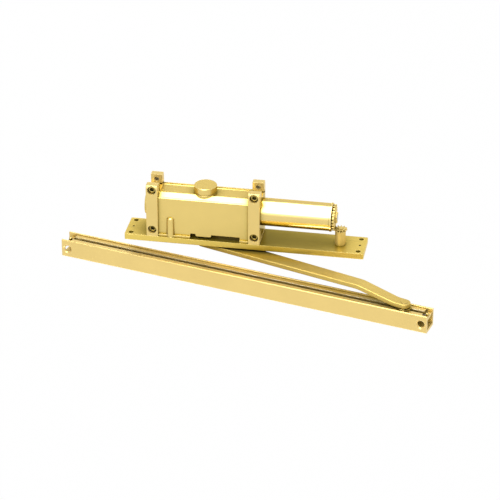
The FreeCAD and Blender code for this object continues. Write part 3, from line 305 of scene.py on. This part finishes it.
# Colour, roughness and share of metal of each finish, and where it departs from the usual detail
finishes = {
    "gold_plate": metal("gold_plate", (0.80, 0.60, 0.14), 0.30, 0.45, grain=ALONG_BAR, grain_depth=0.000004,
                        wide=PLATE_SHADE),
    "gold_bracket": metal("gold_bracket", (0.82, 0.62, 0.22), 0.24, 0.3, grain_scale=420.0, wide=FAINT_SHADE),
    "gold_body": metal("gold_body", (0.81, 0.61, 0.20), 0.22, 0.85, grain_scale=420.0, line=FINE_SHADE,
                       deep=BODY_HOLLOW_SHADE),
    "gold_tube": metal("gold_tube", (0.84, 0.64, 0.24), 0.15, 1.0, ALONG_TUBE, deep=SMALL_HOLLOW_SHADE),
    "gold_adjuster": metal("gold_adjuster", (0.80, 0.61, 0.21), 0.42, 0.5, grain_scale=500.0, wide=NEAR_SHADE,
                           deep=SMALL_HOLLOW_SHADE),
    "gold_arm": metal("gold_arm", (0.70, 0.51, 0.14), 0.30, 0.4, grain=ALONG_BAR, yaw=ARM_YAW),
    "gold_track": metal("gold_track", (0.86, 0.64, 0.23), 0.24, 0.35, grain=ALONG_BAR, yaw=TRACK_YAW,
                        edge=0.0009, edge_highlight_share=0.6, wide=NEAR_SHADE, deep=TINY_HOLLOW_SHADE),
    "plated_screw": metal("plated_screw", (0.78, 0.60, 0.22), 0.22, 1.0, grain_scale=700.0),
    "ground_steel": metal("ground_steel", (0.60, 0.58, 0.55), 0.22, 1.0, grain_scale=600.0,
                          glint=STEEL_GLINT),
    "spring_steel": metal("spring_steel", (0.26, 0.26, 0.27), 0.32, 1.0, grain_scale=600.0,
                          glint=STEEL_GLINT),
    "bronze_bush": metal("bronze_bush", (0.66, 0.46, 0.20), 0.26, 1.0, grain_scale=600.0),
    "seal_rubber": rubber("seal_rubber", (0.03, 0.03, 0.03)),
}


def dress_nodes():
    """Gives every carried-over node the finish of its slot in the record."""
    for row in frame["record"]["subparts"]:
        item = frame["nodes"][row["node"]]
        item.data.materials.clear()
        item.data.materials.append(finishes[row["material_slot"]])


# Springs

def swept_tube(name, points, radius, sides):
    """Round wire along points, capped at both ends."""
    mesh = bpy.data.meshes.new(name)
    verts, faces = [], []
    count = len(points)
    for index, point in enumerate(points):
        ahead = points[min(index + 1, count - 1)] - points[max(index - 1, 0)]
        ahead.normalize()
        outward = Vector((0, point.y, point.z)).normalized()
        outward = (outward - ahead * outward.dot(ahead)).normalized()
        side = ahead.cross(outward)
        for step in range(sides):
            angle = 2 * math.pi * step / sides
            verts.append(point + radius * (math.cos(angle) * outward + math.sin(angle) * side))
    for index in range(count - 1):
        for step in range(sides):
            following = (step + 1) % sides
            low, high = index * sides, (index + 1) * sides
            faces.append((low + step, low + following, high + following, high + step))
    faces.append(tuple(reversed(range(sides))))
    faces.append(tuple(range((count - 1) * sides, count * sides)))
    mesh.from_pydata(verts, [], faces)
    for polygon in mesh.polygons:
        polygon.use_smooth = len(polygon.vertices) == 4
    return bpy.data.objects.new(name, mesh)


def coil_route(start, end, radius, wire, turns):
    """Points along a coil round the X axis, with closed turns at both ends."""
    closed_rise = wire * CLOSED_PITCH
    open_rise = (end - start - 2 * CLOSED_TURNS * closed_rise) / (turns - 2 * CLOSED_TURNS)
    points = []
    for step in range(turns * STEPS_PER_TURN + 1):
        turn = step / STEPS_PER_TURN
        x = start + min(turn, CLOSED_TURNS) * closed_rise
        x += max(0.0, min(turn, turns - CLOSED_TURNS) - CLOSED_TURNS) * open_rise
        x += max(0.0, turn - (turns - CLOSED_TURNS)) * closed_rise
        angle = 2 * math.pi * turn
        points.append(Vector((x, radius * math.cos(angle), radius * math.sin(angle))))
    return points


def make_spring(node, wire, turns):
    """Coil spring in two halves, each carried with the closer body."""
    low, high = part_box(node)
    axis = (low + high) / 2
    mean_radius = (high.y - low.y) / 2 - wire / 2
    points = coil_route(low.x + wire / 2, high.x - wire / 2, mean_radius, wire, turns)
    middle = len(points) // 2
    left, right = points[:middle + 1], points[middle:]
    for suffix, route, joint in (("_coil_left", left, "piston_slide"), ("_coil_right", right, "nut_slide")):
        half = swept_tube(node + suffix, route, wire / 2, WIRE_SIDES)
        half.data.transform(Matrix.Translation((0, axis.y, axis.z)))
        bpy.context.scene.collection.objects.link(half)
        half.data.materials.append(finishes["spring_steel"])
        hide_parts(node)
        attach(half, "closer")
        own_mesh(half)


# Studio

def seen_directly(tree):
    """Socket that is 1 for rays from the camera, from gloss and through glass."""
    path = tree.nodes.new("ShaderNodeLightPath")
    total = path.outputs["Is Camera Ray"]
    for name in ("Is Glossy Ray", "Is Transmission Ray"):
        larger = tree.nodes.new("ShaderNodeMath")
        larger.operation = "MAXIMUM"
        tree.links.new(total, larger.inputs[0])
        tree.links.new(path.outputs[name], larger.inputs[1])
        total = larger.outputs["Value"]
    return total


def make_world():
    """Plain white surroundings."""
    world = bpy.data.worlds.new("studio")
    bpy.context.scene.world = world
    world.use_nodes = True
    background = next(n for n in world.node_tree.nodes if n.type == "BACKGROUND")
    background.inputs["Color"].default_value = WHITE
    background.inputs["Strength"].default_value = 1.0


def make_floor():
    """Plain pale floor, far enough below to keep its shadow out of the photograph's frame."""
    low = cad_box[0].z - FLOOR_DROP
    half = FLOOR_SIZE / 2
    mesh = bpy.data.meshes.new("floor")
    corners = [(-half, -half, low), (half, -half, low), (half, half, low), (-half, half, low)]
    mesh.from_pydata(corners, [], [(0, 1, 2, 3)])
    floor = bpy.data.objects.new("floor", mesh)
    bpy.context.scene.collection.objects.link(floor)
    material, tree, shader = new_material("floor_pale")
    shader.inputs["Base Color"].default_value = FLOOR_COLOUR
    shader.inputs["Roughness"].default_value = FLOOR_ROUGHNESS
    glow = tree.nodes.new("ShaderNodeEmission")
    mix = tree.nodes.new("ShaderNodeMixShader")
    share = spread(tree, seen_directly(tree), 0.0, FLOOR_GLOW, 0.0, 1.0)
    tree.links.new(share, mix.inputs["Fac"])
    tree.links.new(shader.outputs["BSDF"], mix.inputs[1])
    tree.links.new(glow.outputs["Emission"], mix.inputs[2])
    output = next(n for n in tree.nodes if n.type == "OUTPUT_MATERIAL")
    tree.links.new(mix.outputs["Shader"], output.inputs["Surface"])
    mesh.materials.append(material)


def level_at(stops, degrees):
    """Brightness between the two stops on either side of an angle."""
    for (low, before), (high, after) in zip(stops, stops[1:]):
        if degrees <= high:
            share = (degrees - low) / (high - low)
            return before + (after - before) * share
    return stops[-1][1]


def panel_mesh(name, stops, radius, half_width, centre):
    """Curved strip round the X axis that keeps the brightness at each of its points."""
    first, last = stops[0][0], stops[-1][0]
    count = round((last - first) / SWEEP_STEP)
    verts, levels = [], []
    for index in range(count + 1):
        degrees = first + (last - first) * index / count
        angle = math.radians(degrees)
        y, z = centre[1] - radius * math.sin(angle), centre[2] + radius * math.cos(angle)
        for x in (-half_width, half_width):
            verts.append((centre[0] + x, y, z))
            levels.append(level_at(stops, degrees))
    faces = [(2 * i, 2 * i + 1, 2 * i + 3, 2 * i + 2) for i in range(count)]
    mesh = bpy.data.meshes.new(name)
    mesh.from_pydata(verts, [], faces)
    attribute = mesh.attributes.new("level", "FLOAT", "POINT")
    attribute.data.foreach_set("value", levels)
    return mesh


def panel_glow(name):
    """Glow as bright as the strip's own points say."""
    material = bpy.data.materials.new(name)
    material.use_nodes = True
    tree = material.node_tree
    tree.nodes.clear()
    output = tree.nodes.new("ShaderNodeOutputMaterial")
    glow = tree.nodes.new("ShaderNodeEmission")
    level = tree.nodes.new("ShaderNodeAttribute")
    level.attribute_name = "level"
    tree.links.new(level.outputs["Fac"], glow.inputs["Strength"])
    tree.links.new(glow.outputs["Emission"], output.inputs["Surface"])
    return material


def make_light_panel(name, stops, radius, half_width, centre):
    """Curved light panel whose brightness changes along its arc, and which only gloss sees."""
    panel = bpy.data.objects.new(name, panel_mesh(name, stops, radius, half_width, centre))
    bpy.context.scene.collection.objects.link(panel)
    panel.data.materials.append(panel_glow(name + "_glow"))
    panel.visible_camera = False
    panel.visible_diffuse = False
    panel.visible_shadow = False


def make_camera():
    """Camera at the photograph's place."""
    data = bpy.data.cameras.new("photo_camera")
    data.sensor_width = SENSOR_WIDTH
    data.lens = SENSOR_WIDTH * FOCAL_PIXELS / PHOTO_SIZE
    camera = bpy.data.objects.new("photo_camera", data)
    camera.location = CAMERA_PLACE
    camera.rotation_euler = (math.radians(90 - CAMERA_PITCH), 0, math.radians(CAMERA_YAW))
    bpy.context.scene.collection.objects.link(camera)
    bpy.context.scene.camera = camera


dress_nodes()
make_spring("main_spring", *MAIN_SPRING)
make_spring("inner_spring", *INNER_SPRING)
make_world()
make_floor()
make_light_panel("light_sweep", SWEEP_STOPS, SWEEP_RADIUS, SWEEP_HALF_WIDTH, SWEEP_CENTRE)
make_light_panel("back_card", BACK_CARD_STOPS, BACK_CARD_RADIUS, BACK_CARD_HALF_WIDTH, BACK_CARD_CENTRE)
make_light_panel("front_card", FRONT_CARD_STOPS, FRONT_CARD_RADIUS, FRONT_CARD_HALF_WIDTH, FRONT_CARD_CENTRE)
make_camera()
bpy.context.scene.view_settings.view_transform = "Standard"
